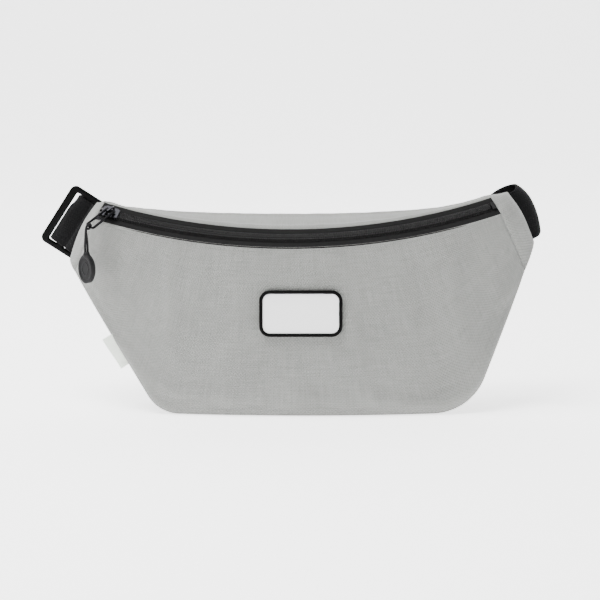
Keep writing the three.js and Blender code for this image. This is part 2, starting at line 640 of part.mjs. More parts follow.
function buildLeftBelt() {
  const frame = beltFrame(LEFT);
  const { x, y, radius } = LEFT_FOLD;
  webbing(frame, 'left_webbing_anchor', [V2(-12, END_Y), V2(-0.5, END_Y), V2(2.6, 24.3), V2(4.6, y - radius),
    ...fold(x, y, radius, -90, 60)]);
  buildGlide(frame);
  const first = y + radius;
  const layers = range(4, first + LAYER_STEP, first + 4 * LAYER_STEP);
  const turn = LAYER_STEP / 2;
  webbing(frame, 'left_belt_webbing', [
    V2(x - BELT_START, first),
    ...fold(MALE.bar.x, MALE.bar.y, WRAP, 270, 90),
    V2(-110, MALE.bar.y + WRAP - 0.4), V2(-98, layers[0]),
    ...fold(-10, layers[0] + turn, turn, -90, 90, 6),
    ...fold(-96, layers[1] + turn, turn, 270, 90, 6),
    ...fold(-13, layers[2] + turn, turn, -90, 90, 6),
    V2(-88, layers[3]),
  ]);
  const middle = (first + layers[3]) / 2;
  const keeper = roundedRectangle(layers[3] - first + 5.2, WEBBING.width + 5, 2.4);
  keeper.holes.push(roundedRectangle(layers[3] - first + 2.8, WEBBING.width + 2.6, 1.2));
  add(frame, 'elastic_keeper', extrude(keeper, 14).rotateX(PI / 2).rotateZ(PI / 2).translate(-55, middle, 0), TAPE);
  buildMaleBuckle(frame);
}

function buildRightBelt() {
  const frame = beltFrame(RIGHT);
  const { x, y, radius } = RIGHT_FOLD;
  webbing(frame, 'right_webbing_anchor', [V2(-12, END_Y), ...fold(x, y, radius, -90, 60)]);
  const first = y + radius;
  webbing(frame, 'right_belt_webbing', [
    V2(x - BELT_START, first),
    ...fold(FEMALE.bar.x, FEMALE.bar.y, WRAP, 270, 90),
    V2(-104, FEMALE.bar.y + WRAP - 0.4), V2(-93, first + LAYER_STEP), V2(-58, first + LAYER_STEP),
  ]);
  buildFemaleBuckle(frame);
}

buildShell();
buildFoam('front_foam', frontPoint, [0.09, 0.91], [0.1, 0.91], 2.5);
buildFoam('back_foam', backPoint, [0.06, 0.94], [0.08, 0.86], 3);
buildLining();
buildEndCap('left_end_cap', FIRST, 0);
buildEndCap('right_end_cap', LAST, 1);
buildZip();
buildPull();
buildBadge();
buildSideLabel();
buildLeftBelt();
buildRightBelt();

export default bag;
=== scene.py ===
import math

import bmesh
import bpy
import numpy as np
from mathutils import Matrix, Vector


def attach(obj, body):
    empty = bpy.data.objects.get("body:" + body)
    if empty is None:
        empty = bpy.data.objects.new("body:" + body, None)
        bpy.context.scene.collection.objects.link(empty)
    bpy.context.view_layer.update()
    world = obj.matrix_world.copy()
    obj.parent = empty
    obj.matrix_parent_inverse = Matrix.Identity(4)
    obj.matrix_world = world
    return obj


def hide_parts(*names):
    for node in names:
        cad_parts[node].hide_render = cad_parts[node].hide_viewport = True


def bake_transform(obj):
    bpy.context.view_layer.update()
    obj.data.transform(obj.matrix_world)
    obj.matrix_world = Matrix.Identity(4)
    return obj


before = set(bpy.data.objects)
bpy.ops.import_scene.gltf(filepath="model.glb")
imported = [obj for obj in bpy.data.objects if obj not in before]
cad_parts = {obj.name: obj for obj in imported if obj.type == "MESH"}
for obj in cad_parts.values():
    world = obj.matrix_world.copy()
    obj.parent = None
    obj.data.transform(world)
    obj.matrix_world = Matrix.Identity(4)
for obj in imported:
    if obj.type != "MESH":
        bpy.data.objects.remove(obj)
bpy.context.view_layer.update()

# All the lengths below are in millimetres until a mesh is made.
MM = 0.001
rng = np.random.default_rng(11)
vec = lambda *p: np.array(p, float)

# ---------------------------------------------------------------- dimensions, the same as the solids'
FABRIC = 1.2
GAP = 0.35
BACK_Y = 26.0
END_Y = 23.0
OUTLINE = [vec(-170, 105), vec(-104, 0), vec(118, 0), vec(165.5, 117.3)]
OUTLINE_RADII = [26, 40]
TOP_EDGE = [(-150, 145), (-125, 140.5), (-80, 137), (0, 136), (60, 137.5), (98, 140.5), (128, 147.8), (146, 152.5)]
SEAM_END, SEAM_MIDDLE = 18.0, 56.0
ZIP_R = 383.0
ZIP_MIDDLE = vec(-11, -20, 125)
ZIP_LEFT = -math.asin(134 / ZIP_R)
ZIP_RIGHT = math.asin(146 / ZIP_R)
HALF_BAND = 8.0
WEB_W, WEB_T = 38.0, 1.5
LEFT_SEAT, LEFT_TURN = vec(-160, 0, 125), 213.0
RIGHT_SEAT, RIGHT_TURN = vec(155.75, 0, 134.9), -29.0

unit = lambda v: v / max(float(np.linalg.norm(v)), 1e-9)


# ---------------------------------------------------------------- boundary curves
def seam_points():
    """The side seams and the base as one polyline, with its length at each point."""
    points = [OUTLINE[0]]
    for k, radius in enumerate(OUTLINE_RADII):
        corner = OUTLINE[k + 1]
        back, ahead = unit(OUTLINE[k] - corner), unit(OUTLINE[k + 2] - corner)
        half = math.acos(float(back @ ahead)) / 2
        start, end = corner + back * radius / math.tan(half), corner + ahead * radius / math.tan(half)
        centre = corner + unit(back + ahead) * radius / math.sin(half)
        a0 = math.atan2(*(start - centre)[::-1])
        a1 = math.atan2(*(end - centre)[::-1])
        if a1 < a0:
            a1 += 2 * math.pi
        points += [centre + radius * vec(math.cos(a), math.sin(a)) for a in np.linspace(a0, a1, 40)]
    points.append(OUTLINE[-1])
    return np.array(points)


def by_length(points):
    steps = np.linalg.norm(np.diff(points, axis=0), axis=1)
    return np.concatenate([[0], np.cumsum(steps)]) / steps.sum()


def catmull(points, per=14, closed=False):
    """A smooth curve through points."""
    p = np.array(points, float)
    n = len(p)
    out = []
    for i in range(n if closed else n - 1):
        at = (lambda k: p[k % n]) if closed else (lambda k: p[min(max(k, 0), n - 1)])
        a, b, c, d = at(i - 1), at(i), at(i + 1), at(i + 2)
        for t in np.arange(per) / per:
            out.append(0.5 * (2 * b + (c - a) * t + (2 * a - 5 * b + 4 * c - d) * t * t
                              + (3 * b - a - 3 * c + d) * t ** 3))
    if not closed:
        out.append(p[-1])
    return np.array(out)


SEAM = seam_points()
SEAM_S = by_length(SEAM)
TOP = catmull(TOP_EDGE)
TOP_S = by_length(TOP)
C45 = math.sqrt(0.5)
ZIP_CENTRE = ZIP_MIDDLE + ZIP_R * vec(0, C45, C45)


def rib_foot(s):
    return vec(*(np.interp(s, SEAM_S, SEAM[:, k]) for k in (0, 1)))


def rib_head(s):
    return vec(*(np.interp(s, TOP_S, TOP[:, k]) for k in (0, 1)))


def zip_point(angle, reach=0.0, lift=0.0):
    radius = ZIP_R + reach
    x, y = radius * math.sin(angle), -radius * math.cos(angle)
    return ZIP_CENTRE + vec(x, (y - lift) * C45, (y + lift) * C45)


def bisect(low, high, below):
    for _ in range(36):
        middle = (low + high) / 2
        low, high = (middle, high) if below(middle) else (low, middle)
    return (low + high) / 2


def zip_angle(s):
    foot = rib_foot(s)
    rib = rib_head(s) - foot

    def below(angle):
        p = zip_point(angle)
        return (p[0] - foot[0]) * rib[1] - (p[2] - foot[1]) * rib[0] < 0

    return bisect(-0.6, 0.6, below)


FIRST = bisect(0, 1, lambda s: zip_angle(s) < ZIP_LEFT)
LAST = bisect(0, 1, lambda s: zip_angle(s) < ZIP_RIGHT)


def front_seam(s):
    along = min(max((s - FIRST) / (LAST - FIRST), 0), 1)
    depth = SEAM_END + (SEAM_MIDDLE - SEAM_END) * math.sin(math.pi * along) ** 0.7
    foot = rib_foot(s)
    return vec(foot[0], BACK_Y - depth, foot[1])


def back_seam(s):
    foot = rib_foot(s)
    return vec(foot[0], BACK_Y - 1, foot[1])


def top_seam(s):
    head = rib_head(s)
    return vec(head[0], BACK_Y, head[1])


def front_point(s, v):
    start, end = zip_point(zip_angle(s), HALF_BAND), front_seam(s)
    down = unit((end - start) * vec(1, 0, 1))
    third = np.linalg.norm(end - start) / 3
    b = start + vec(down[0], -0.04, down[2]) * third
    c = end + vec(-down[0], -0.2, -down[2]) * third
    w = 1 - v
    return w ** 3 * start + 3 * w * w * v * b + 3 * w * v * v * c + v ** 3 * end


def base_point(s, v):
    return front_seam(s) * (1 - v) + back_seam(s) * v


def top_point(s, v):
    p = zip_point(zip_angle(s), -HALF_BAND) * (1 - v) + top_seam(s) * v
    return p + vec(0, 0, 1.6 * math.sin(math.pi * v))


def back_point(s, v):
    p = back_seam(s) * (1 - v) + top_seam(s) * v
    p[1] = BACK_Y + 2.2 * math.sin(math.pi * v) * math.sin(math.pi * s)
    return p


def inside_at(s):
    foot, head = rib_foot(s), rib_head(s)
    return vec((foot[0] + head[0]) / 2, BACK_Y - 12, (foot[1] + head[1]) / 2)


def grid_of(point, stations, shares):
    return np.array([[point(s, v) for v in shares] for s in stations])


# ---------------------------------------------------------------- mesh code
def make(name, points, faces, uv=None, smooth=True):
    """A mesh object from points in millimetres. uv has a pair for each point."""
    mesh = bpy.data.meshes.new(name)
    mesh.from_pydata([tuple(p) for p in np.asarray(points, float) * MM], [], [tuple(f) for f in faces])
    if uv is not None:
        layer = mesh.uv_layers.new(name="UVMap")
        index = np.empty(len(mesh.loops), int)
        mesh.loops.foreach_get("vertex_index", index)
        layer.data.foreach_set("uv", np.asarray(uv, float)[index].ravel())
    mesh.polygons.foreach_set("use_smooth", [smooth] * len(mesh.polygons))
    mesh.update()
    ob = bpy.data.objects.new(name, mesh)
    bpy.context.scene.collection.objects.link(ob)
    return ob


def grid_uv(grid):
    """Lengths in millimetres along both directions of a grid."""
    rows = np.linalg.norm(np.diff(grid, axis=0), axis=2).mean(1)
    columns = np.linalg.norm(np.diff(grid, axis=1), axis=2).mean(0)
    u = np.concatenate([[0], np.cumsum(rows)])
    v = np.concatenate([[0], np.cumsum(columns)])
    return np.stack(np.meshgrid(u, v, indexing="ij"), -1)


def grid_normals(grid, inside):
    along = np.gradient(grid, axis=0)
    across = np.gradient(grid, axis=1)
    n = np.cross(along, across)
    n /= np.maximum(np.linalg.norm(n, axis=2, keepdims=True), 1e-9)
    flip = np.sum(n * (inside - grid), axis=2) < 0
    n[flip] *= -1
    return n


def shell(name, grid, thickness, inside, uv=None):
    """A closed sheet, whose outer side is the grid, with softly rounded edges."""
    rows, columns = grid.shape[:2]
    n = grid_normals(grid, inside)
    uv = grid_uv(grid) if uv is None else uv
    points = np.concatenate([grid.reshape(-1, 3), (grid + n * thickness).reshape(-1, 3)])
    both = np.concatenate([uv.reshape(-1, 2)] * 2)
    k = rows * columns
    at = lambda i, j: i * columns + j
    faces = []
    for i in range(rows - 1):
        for j in range(columns - 1):
            a, b, c, d = at(i, j), at(i + 1, j), at(i + 1, j + 1), at(i, j + 1)
            faces += [(a, b, c, d), (k + a, k + d, k + c, k + b)]
    rim = ([at(i, 0) for i in range(rows)] + [at(rows - 1, j) for j in range(1, columns)]
           + [at(i, columns - 1) for i in range(rows - 2, -1, -1)] + [at(0, j) for j in range(columns - 2, 0, -1)])
    for a, b in zip(rim, rim[1:] + rim[:1]):
        faces.append((b, a, k + a, k + b))
    # The winding follows the side that the normals point away from.
    e1, e2 = grid[1, 0] - grid[0, 0], grid[0, 1] - grid[0, 0]
    if np.dot(np.cross(e1, e2), n[0, 0]) > 0:
        faces = [f[::-1] for f in faces]
    return make(name, points, faces, both)


def tube(path, radius, sides=8, closed=False):
    """Points and faces of a round tube along a path."""
    p = np.asarray(path, float)
    n = len(p)
    t = np.roll(p, -1, 0) - np.roll(p, 1, 0) if closed else np.gradient(p, axis=0)
    t /= np.linalg.norm(t, axis=1, keepdims=True)
    ref = vec(0, 0, 1) if abs(t[0][2]) < 0.9 else vec(1, 0, 0)
    u = unit(np.cross(t[0], ref))
    points = []
    for k in range(n):
        u = unit(u - t[k] * float(u @ t[k]))
        w = np.cross(t[k], u)
        r = radius[k] if hasattr(radius, "__len__") else radius
        points += [p[k] + r * (math.cos(a) * u + math.sin(a) * w)
                   for a in np.arange(sides) * 2 * math.pi / sides]
    faces = []
    for k in range(n if closed else n - 1):
        m = (k + 1) % n
        for j in range(sides):
            i = (j + 1) % sides
            faces.append((k * sides + j, k * sides + i, m * sides + i, m * sides + j))
    if not closed:
        faces += [tuple(range(sides))[::-1], tuple(range((n - 1) * sides, n * sides))]
    return points, faces


def many(name, parts, smooth=True):
    """One object out of several (points, faces)."""
    points, faces = [], []
    for p, f in parts:
        k = len(points)
        points += list(p)
        faces += [tuple(i + k for i in face) for face in f]
    points = np.array(points)
    return make(name, points, faces, points[:, [0, 2]], smooth)


def plate(name, outline, thickness, edge, holes=(), matrix=None):
    """A flat plate with rounded edges, drawn as an outline with holes, centred on its thickness."""
    curve = bpy.data.curves.new(name, "CURVE")
    curve.dimensions = "2D"
    curve.fill_mode = "BOTH"
    curve.extrude = max(thickness / 2 - edge, 0.01) * MM
    curve.bevel_depth = edge * MM
    curve.bevel_resolution = 3
    curve.offset = -edge * MM
    for ring in [outline, *holes]:
        spline = curve.splines.new("POLY")
        spline.points.add(len(ring) - 1)
        for k, (x, y) in enumerate(ring):
            spline.points[k].co = (x * MM, y * MM, 0, 1)
        spline.use_cyclic_u = True
    shape = bpy.data.objects.new(name, curve)
    bpy.context.scene.collection.objects.link(shape)
    bpy.context.view_layer.update()
    mesh = bpy.data.meshes.new_from_object(shape.evaluated_get(bpy.context.evaluated_depsgraph_get()))
    bpy.data.objects.remove(shape)
    bpy.data.curves.remove(curve)
    mesh.name = name
    ob = bpy.data.objects.new(name, mesh)
    bpy.context.scene.collection.objects.link(ob)
    if matrix is not None:
        mesh.transform(matrix)
    mesh.polygons.foreach_set("use_smooth", [True] * len(mesh.polygons))
    mesh.set_sharp_from_angle(angle=math.radians(40))
    return ob


def rounded(width, height, radius, steps=8):
    out = []
    for k, (sx, sy) in enumerate([(1, 1), (-1, 1), (-1, -1), (1, -1)]):
        for a in np.linspace(k * 90, k * 90 + 90, steps):
            out.append((sx * (width / 2 - radius) + radius * math.cos(math.radians(a)),
                        sy * (height / 2 - radius) + radius * math.sin(math.radians(a))))
    return out


def axes(origin, x, y, z):
    """A matrix in metres that puts local axes at an origin in millimetres."""
    m = Matrix((tuple(x), tuple(y), tuple(z))).transposed().to_4x4()
    m.translation = Vector(tuple(np.asarray(origin) * MM))
    return m


# ---------------------------------------------------------------- materials
class Nodes:
    def __init__(self, name):
        self.material = bpy.data.materials.new(name)
        self.material.use_nodes = True
        self.tree = self.material.node_tree
        self.shader = next(n for n in self.tree.nodes if n.type == "BSDF_PRINCIPLED")

    def add(self, kind, **inputs):
        node = self.tree.nodes.new(kind)
        for key, value in inputs.items():
            key = int(key[1:]) if key[0] == "i" and key[1:].isdigit() else key.replace("_", " ")
            self.put(node.inputs[key], value)
        return node

    def put(self, socket, value):
        if isinstance(value, bpy.types.NodeSocket):
            self.tree.links.new(value, socket)
        else:
            socket.default_value = value

    def math(self, operation, a, b=0.0):
        node = self.add("ShaderNodeMath", i0=a, i1=b)
        node.operation = operation
        return node.outputs[0]

    def noise(self, vector, scale, detail=2.0, rough=0.5):
        node = self.add("ShaderNodeTexNoise", Scale=scale, Detail=detail, Roughness=rough)
        self.put(node.inputs["Vector"], vector)
        return node.outputs["Fac"]

    def stretch(self, vector, scale):
        node = self.add("ShaderNodeMapping", Vector=vector)
        node.inputs["Scale"].default_value = scale
        return node.outputs[0]

    def ramp(self, fac, stops):
        node = self.add("ShaderNodeValToRGB", Fac=fac)
        while len(node.color_ramp.elements) < len(stops):
            node.color_ramp.elements.new(0.5)
        for element, (at, colour) in zip(node.color_ramp.elements, stops):
            element.position = at
            element.color = (*colour, 1)
        return node.outputs["Color"]

    def finish(self, colour, rough, bump=None, distance=0.1, strength=0.6, **more):
        self.put(self.shader.inputs["Base Color"], colour)
        self.put(self.shader.inputs["Roughness"], rough)
        if bump is not None:
            node = self.add("ShaderNodeBump", Height=bump, Strength=strength, Distance=distance * MM)
            self.put(self.shader.inputs["Normal"], node.outputs[0])
        for key, value in more.items():
            self.put(self.shader.inputs[key.replace("_", " ")], value)
        return self.material


def shade(colour, factor):
    return tuple(min(c * factor, 1.0) for c in colour)


def linear(*rgb):
    return tuple(((c / 255 + 0.055) / 1.055) ** 2.4 if c > 10 else c / 255 / 12.92 for c in rgb)


def woven(name, colour, pitch=0.9, spread=0.1, depth=0.14, sheen=0.2, rough=0.9, spec=0.2):
    """Plain weave drawn from UVs in millimetres, with uneven yarns in both directions."""
    n = Nodes(name)
    uv = n.add("ShaderNodeTexCoord").outputs["UV"]
    split = n.add("ShaderNodeSeparateXYZ", Vector=uv)
    k = math.pi / pitch
    warp = n.math("SINE", n.math("MULTIPLY", split.outputs[0], k))
    weft = n.math("SINE", n.math("MULTIPLY", split.outputs[1], k))
    cell = n.math("MULTIPLY", warp, weft)
    slub_u = n.noise(n.stretch(uv, (0.05, 1.1, 1)), 1.0, 3.0)
    slub_v = n.noise(n.stretch(uv, (1.1, 0.05, 1)), 1.0, 3.0)
    blotch = n.noise(n.stretch(uv, (0.03, 0.03, 1)), 1.0, 3.0)
    yarn = n.math("ADD", n.math("MULTIPLY", slub_u, 0.4), n.math("MULTIPLY", slub_v, 0.4))
    # The tone is the yarns' own uneven colour and blotches plus painted shade: the weave's raised crossings are
    # painted a little lighter and the hollows between them darker, following the bump.
    tone = n.math("ADD", n.math("ADD", yarn, n.math("MULTIPLY", blotch, 0.2)), n.math("MULTIPLY", cell, 0.07))
    paint = n.ramp(tone, [(0.3, shade(colour, 1 - spread)), (0.7, shade(colour, 1 + spread))])
    height = n.math("ADD", cell, n.math("MULTIPLY", yarn, 1.5))
    return n.finish(paint, rough, height, depth, 0.7, Sheen_Weight=sheen, Sheen_Roughness=0.5,
                    Specular_IOR_Level=spec)


def webbing_cloth(name, colour, pitch=1.5):
    """Tight belt webbing: V-shaped ribs across the band."""
    n = Nodes(name)
    uv = n.add("ShaderNodeTexCoord").outputs["UV"]
    split = n.add("ShaderNodeSeparateXYZ", Vector=uv)
    zigzag = n.math("PINGPONG", split.outputs[0], 1.6)
    rib = n.math("SINE", n.math("MULTIPLY", n.math("ADD", split.outputs[1], zigzag), 2 * math.pi / pitch))
    line = n.math("ABSOLUTE", n.math("SINE", n.math("MULTIPLY", split.outputs[0], math.pi / 1.6)))
    height = n.math("ADD", rib, n.math("MULTIPLY", line, 1.2))
    fuzz = n.noise(uv, 1.3, 4.0)
    # The tone is uneven fibre colour plus painted shade: the crests of the ribs are painted lighter and the grooves
    # between them darker, following the bump.
    tone = n.math("ADD", n.math("MULTIPLY", rib, 0.12), fuzz)
    paint = n.ramp(tone, [(0.3, shade(colour, 0.7)), (0.75, shade(colour, 1.35))])
    return n.finish(paint, 0.75, height, 0.16, 0.8, Sheen_Weight=0.04, Specular_IOR_Level=0.1)


def moulded(name, colour, rough=0.42, grain=2.2, spec=0.5):
    """Moulded plastic or rubber, finely grained, with slight unevenness."""
    n = Nodes(name)
    where = n.add("ShaderNodeTexCoord").outputs["Object"]
    fine = n.noise(where, 1000 * grain, 2.0)
    wide = n.noise(where, 45, 3.0)
    paint = n.ramp(wide, [(0.35, shade(colour, 0.85)), (0.65, shade(colour, 1.15))])
    sheen = n.math("ADD", n.math("MULTIPLY", wide, 0.16), rough - 0.08)
    return n.finish(paint, sheen, fine, 0.04, 0.35, Specular_IOR_Level=spec)


def metal(name, colour, rough=0.28):
    n = Nodes(name)
    where = n.add("ShaderNodeTexCoord").outputs["Object"]
    wear = n.noise(where, 260, 4.0)
    paint = n.ramp(wear, [(0.35, shade(colour, 0.8)), (0.7, shade(colour, 1.2))])
    return n.finish(paint, n.math("ADD", n.math("MULTIPLY", wear, 0.2), rough - 0.1), wear, 0.02, 0.3, Metallic=1.0)


def plain(name, colour, rough, spread=0.03, scale=120, bump=0.03):
    n = Nodes(name)
    where = n.add("ShaderNodeTexCoord").outputs["Object"]
    wide = n.noise(where, scale, 4.0)
    paint = n.ramp(wide, [(0.35, shade(colour, 1 - spread)), (0.65, shade(colour, 1 + spread))])
    return n.finish(paint, rough, wide, bump, 0.4)


LOOKS = {
    "grey_fabric": woven("grey woven polyester", linear(128, 129, 126), pitch=1.1, spread=0.22, depth=0.2),
    "back_fabric": woven("back woven polyester", linear(124, 126, 124), pitch=1.4, spread=0.26),
    "lining_fabric": woven("lining", linear(92, 94, 97), pitch=0.5, spread=0.08, depth=0.05),
    "foam": plain("foam", linear(232, 231, 224), 0.95, 0.08, 900, 0.3),
    "zip_tape": woven("zip tape", linear(26, 26, 26), pitch=0.55, spread=0.3, depth=0.1, sheen=0.0, spec=0.08),
    "zip_coil": moulded("zip coil", linear(12, 12, 12), 0.4, 3, 0.2),
    "dark_metal": metal("dark plated metal", linear(27, 27, 29), 0.32),
    "tag_rubber": moulded("tag rubber", linear(24, 24, 25), 0.5, 2.2, 0.14),
    "cord": woven("braided cord", linear(26, 26, 27), pitch=0.6, spread=0.3, depth=0.12, sheen=0.0, spec=0.1),
    "black_plastic": moulded("black plastic", linear(3, 3, 3), 0.36, 2.2, 0.07),
    "badge_white": plain("blank plate", linear(250, 250, 250), 0.4, 0.01, 60, 0.01),
    "black_webbing": webbing_cloth("belt webbing", linear(10, 10, 11)),
    "label_fabric": woven("label", linear(236, 243, 232), pitch=0.5, spread=0.04, depth=0.06, sheen=0.1),
}


def dress(ob, body, slot, *nodes, paint=None):
    """Gives a piece the material that its slot (or paint) names, hides the CAD nodes that it stands for, and attaches
    it to its body.
    """
    ob.data.materials.clear()
    ob.data.materials.append(LOOKS[paint or slot])
    if nodes:
        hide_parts(*nodes)
    if body:
        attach(ob, body)
    return ob


# ---------------------------------------------------------------- the bag's cloth
BADGE = {"width": 58.0, "height": 32.5, "corner": 7.5, "border": 2.3, "station": 0.4865, "share": 0.385}


MOST_OUT, MOST_IN = 2.0, 0.5    # how far a fold may stand out, or press into the padding


def blur(field, times):
    """Averages each point of a grid with its four neighbours, several times over."""
    for _ in range(times):
        p = np.pad(field, 1, mode="edge")
        field = (p[:-2, 1:-1] + p[2:, 1:-1] + p[1:-1, :-2] + p[1:-1, 2:] + 2 * field) / 6
    return field


def settle(grid, held, frames=26, slack=0.014, push=1.2, deep=0.8):
    """Lets the cloth of a panel sag and buckle between its seams, and gives the grid back with those folds."""
    rows, columns = grid.shape[:2]
    at = lambda i, j: i * columns + j
    faces = [(at(i, j), at(i + 1, j), at(i + 1, j + 1), at(i, j + 1))
             for i in range(rows - 1) for j in range(columns - 1)]
    n = grid_normals(grid, vec(0, BACK_Y - 12, 60))
    start = grid - n * (0.25 * rng.standard_normal((rows, columns, 1)) * (1 - held[..., None]))
    if np.dot(np.cross(grid[1, 0] - grid[0, 0], grid[0, 1] - grid[0, 0]), n[0, 0]) > 0:
        faces = [f[::-1] for f in faces]
    ob = make("cloth", start.reshape(-1, 3), faces)
    group = ob.vertex_groups.new(name="held")
    for index, weight in enumerate(held.ravel()):
        if weight > 0:
            group.add([index], float(weight), "REPLACE")
    cloth = ob.modifiers.new("cloth", "CLOTH")
    cloth.settings.quality = 7
    cloth.settings.mass = 0.15
    cloth.settings.tension_stiffness = 25
    cloth.settings.compression_stiffness = 18
    cloth.settings.shear_stiffness = 6
    cloth.settings.bending_stiffness = 0.6
    cloth.settings.air_damping = 3
    cloth.settings.shrink_min = -slack
    cloth.settings.use_pressure = True
    cloth.settings.uniform_pressure_force = push
    cloth.settings.vertex_group_mass = "held"
    cloth.collision_settings.use_collision = False
    cloth.point_cache.frame_end = frames
    scene = bpy.context.scene
    scene.gravity = (0, 0, -2)
    for number in range(1, frames + 1):
        scene.frame_set(number)
    result = ob.evaluated_get(bpy.context.evaluated_depsgraph_get()).data
    moved = np.empty(rows * columns * 3)
    result.vertices.foreach_get("co", moved)
    moved = moved.reshape(rows, columns, 3) / MM
    scene.frame_set(1)
    bpy.data.objects.remove(ob)
    # Only the folds are kept, at the depth asked for: the padding under the cloth carries the broad shape.
    out = -np.sum(np.nan_to_num(moved - grid) * n, axis=2)
    folds = blur(out, 3) - blur(out, 90)
    folds *= deep / max(float(folds.std()), 1e-6)
    folds = np.where(folds > 0, MOST_OUT * np.tanh(folds / MOST_OUT), MOST_IN * np.tanh(folds / MOST_IN))
    return grid - n * (folds * (1 - held))[..., None]


inside_of = lambda stations: np.array([inside_at(s) for s in stations])[:, None, :]


def soft_edge(count_i, count_j, reach_i=3, reach_j=3):
    """1 on the edges of a grid, easing to 0 inside it."""
    i = np.minimum(np.arange(count_i), count_i - 1 - np.arange(count_i)) / reach_i
    j = np.minimum(np.arange(count_j), count_j - 1 - np.arange(count_j)) / reach_j
    near = np.minimum(i[:, None], j[None, :])
    return np.clip(1 - near, 0, 1) ** 0.7


def build_cloth():
    stations = np.linspace(FIRST, LAST, 150)
    inside = inside_of(stations)

    shares = np.linspace(0, 1, 64)
    grid = grid_of(front_point, stations, shares)
    held = soft_edge(150, 64, 3, 3)
    across = (grid[..., 0] + 6.5) / (BADGE["width"] / 2 + 5)
    height = (shares[None, :] - BADGE["share"]) / 0.19
    held = np.maximum(held, np.clip(1.6 - np.maximum(np.abs(across), np.abs(height)) * 1.2, 0, 1))
    grid = settle(grid, held)
    # The turned edge of the cloth dips into the base seam and under the zip.
    n = grid_normals(grid, inside)
    dip = 0.7 * np.exp(-((1 - shares) / 0.012) ** 2) + 0.45 * np.exp(-(shares / 0.008) ** 2)
    grid = grid + n * dip[None, :, None]
    dress(shell("front_cloth", grid, FABRIC * 0.9, inside), "bag", "grey_fabric", "front_panel")

    shares = np.linspace(0, 1, 26)
    grid = grid_of(base_point, stations, shares)
    flat = grid[..., 2] < 0.5
    grid = settle(grid, np.maximum(soft_edge(150, 26, 3, 2), flat), push=0.8, deep=0.4)
    n = grid_normals(grid, inside)
    grid = grid + n * (0.7 * (np.exp(-(shares / 0.03) ** 2) + np.exp(-((1 - shares) / 0.03) ** 2)))[None, :, None]
    dress(shell("base_cloth", grid, FABRIC * 0.9, inside), "bag", "grey_fabric", "base_panel")

    shares = np.linspace(0, 1, 24)
    grid = grid_of(top_point, stations, shares)
    grid = settle(grid, soft_edge(150, 24, 3, 2), push=0.5, deep=0.9)
    n = grid_normals(grid, inside)
    grid = grid + n * (0.5 * (np.exp(-(shares / 0.03) ** 2) + np.exp(-((1 - shares) / 0.03) ** 2)))[None, :, None]
    dress(shell("top_cloth", grid, FABRIC * 0.9, inside), "bag", "grey_fabric", "top_panel")

    stations = np.linspace(0, 1, 130)
    shares = np.linspace(0, 1, 50)
    inside = inside_of(stations)
    grid = grid_of(back_point, stations, shares)
    # Air-mesh padding, quilted by three upright rows of stitches.
    quilt = np.zeros(grid.shape[:2])
    for x in (-70, 0, 70):
        quilt += 1.3 * np.exp(-((grid[..., 0] - x) / 2.2) ** 2) * np.sin(np.pi * shares)[None, :] ** 0.3
    grid[..., 1] -= quilt
    dress(shell("back_cloth", grid, FABRIC * 0.9, inside), "bag", "back_fabric", "back_panel")
    rows = []
    for x in (-70, 0, 70):
        i = int(np.argmin(np.abs(grid[:, 25, 0] - x)))
        rows.append(grid[i, 3:47] + vec(0, 0.15, 0))
    stitches("back_quilting", rows, vec(0, 1, 0), "back_fabric")

    for name, point, span, shares, thickness in (
            ("front_foam", front_point, (0.08, 0.92), (0.1, 0.93), 2.5),
            ("back_foam", back_point, (0.06, 0.94), (0.08, 0.86), 3.0)):
        stations = np.linspace(*span, 60)
        grid = grid_of(point, stations, np.linspace(*shares, 30))
        inside = inside_of(stations)
        grid = grid + grid_normals(grid, inside) * (FABRIC + GAP + 0.3)
        ob = dress(shell(name + "_pad", grid, thickness - 0.5, inside), "bag", "foam", name)
    build_lining()


def build_lining(inset=6.2):
    stations = np.linspace(0.1, 0.9, 60)
    loops = []
    for s in stations:
        inside = inside_at(s)
        angle = zip_angle(s)
        shrink = lambda p, by: p + unit((inside - p) * vec(0, 1, 1)) * by
        loops.append(catmull(
            [zip_point(angle, 5, -inset)]
            + [front_point(s, v) + vec(0, inset + 1, 0) for v in (0.2, 0.45, 0.7, 0.88)]
            + [shrink(base_point(s, 0.3), inset), shrink(base_point(s, 0.7), inset)]
            + [back_point(s, v) - vec(0, inset, 0) for v in (0.14, 0.4, 0.65, 0.94)]
            + [shrink(top_seam(s), inset * 1.7), zip_point(angle, -5, -inset)], 4))
    grid = np.array(loops)
    dress(shell("lining_cloth", grid, 0.4, inside_of(stations)), "bag", "lining_fabric", "lining")


def cap_grid(station, seam_station, turns):
    foot, head = rib_foot(seam_station), rib_head(seam_station)
    section = ([base_point(station, v) for v in np.linspace(0.99, 0.1, 8)]
               + [front_point(station, v) for v in np.linspace(1, 0, 30)]
               + [zip_point(zip_angle(station), r) for r in (4, 0, -4)]
               + [top_point(station, v) for v in np.linspace(0, 0.98, 14)])
    bottom = rib_foot(station)
    rib = rib_head(station) - bottom
    rows = []
    for turn in turns:
        row = []
        for p in section:
            height = float((vec(p[0], p[2]) - bottom) @ rib / (rib @ rib))
            height = min(max(height, 0), 1)
            end = foot + (head - foot) * height
            near_seam = math.sin(math.pi * min(max((turn - 0.6) / 0.95, 0), 1))
            full = 3.0 * math.sin(math.pi * height) ** 0.8 * near_seam
            end = end + unit(end - vec(p[0], p[2])) * full
            share = 1 - math.sin(turn)
            row.append(vec(end[0] + (p[0] - end[0]) * share, END_Y + (p[1] - END_Y) * math.cos(turn),
                           end[1] + (p[2] - end[1]) * share))
        rows.append(row)
    return np.array(rows)


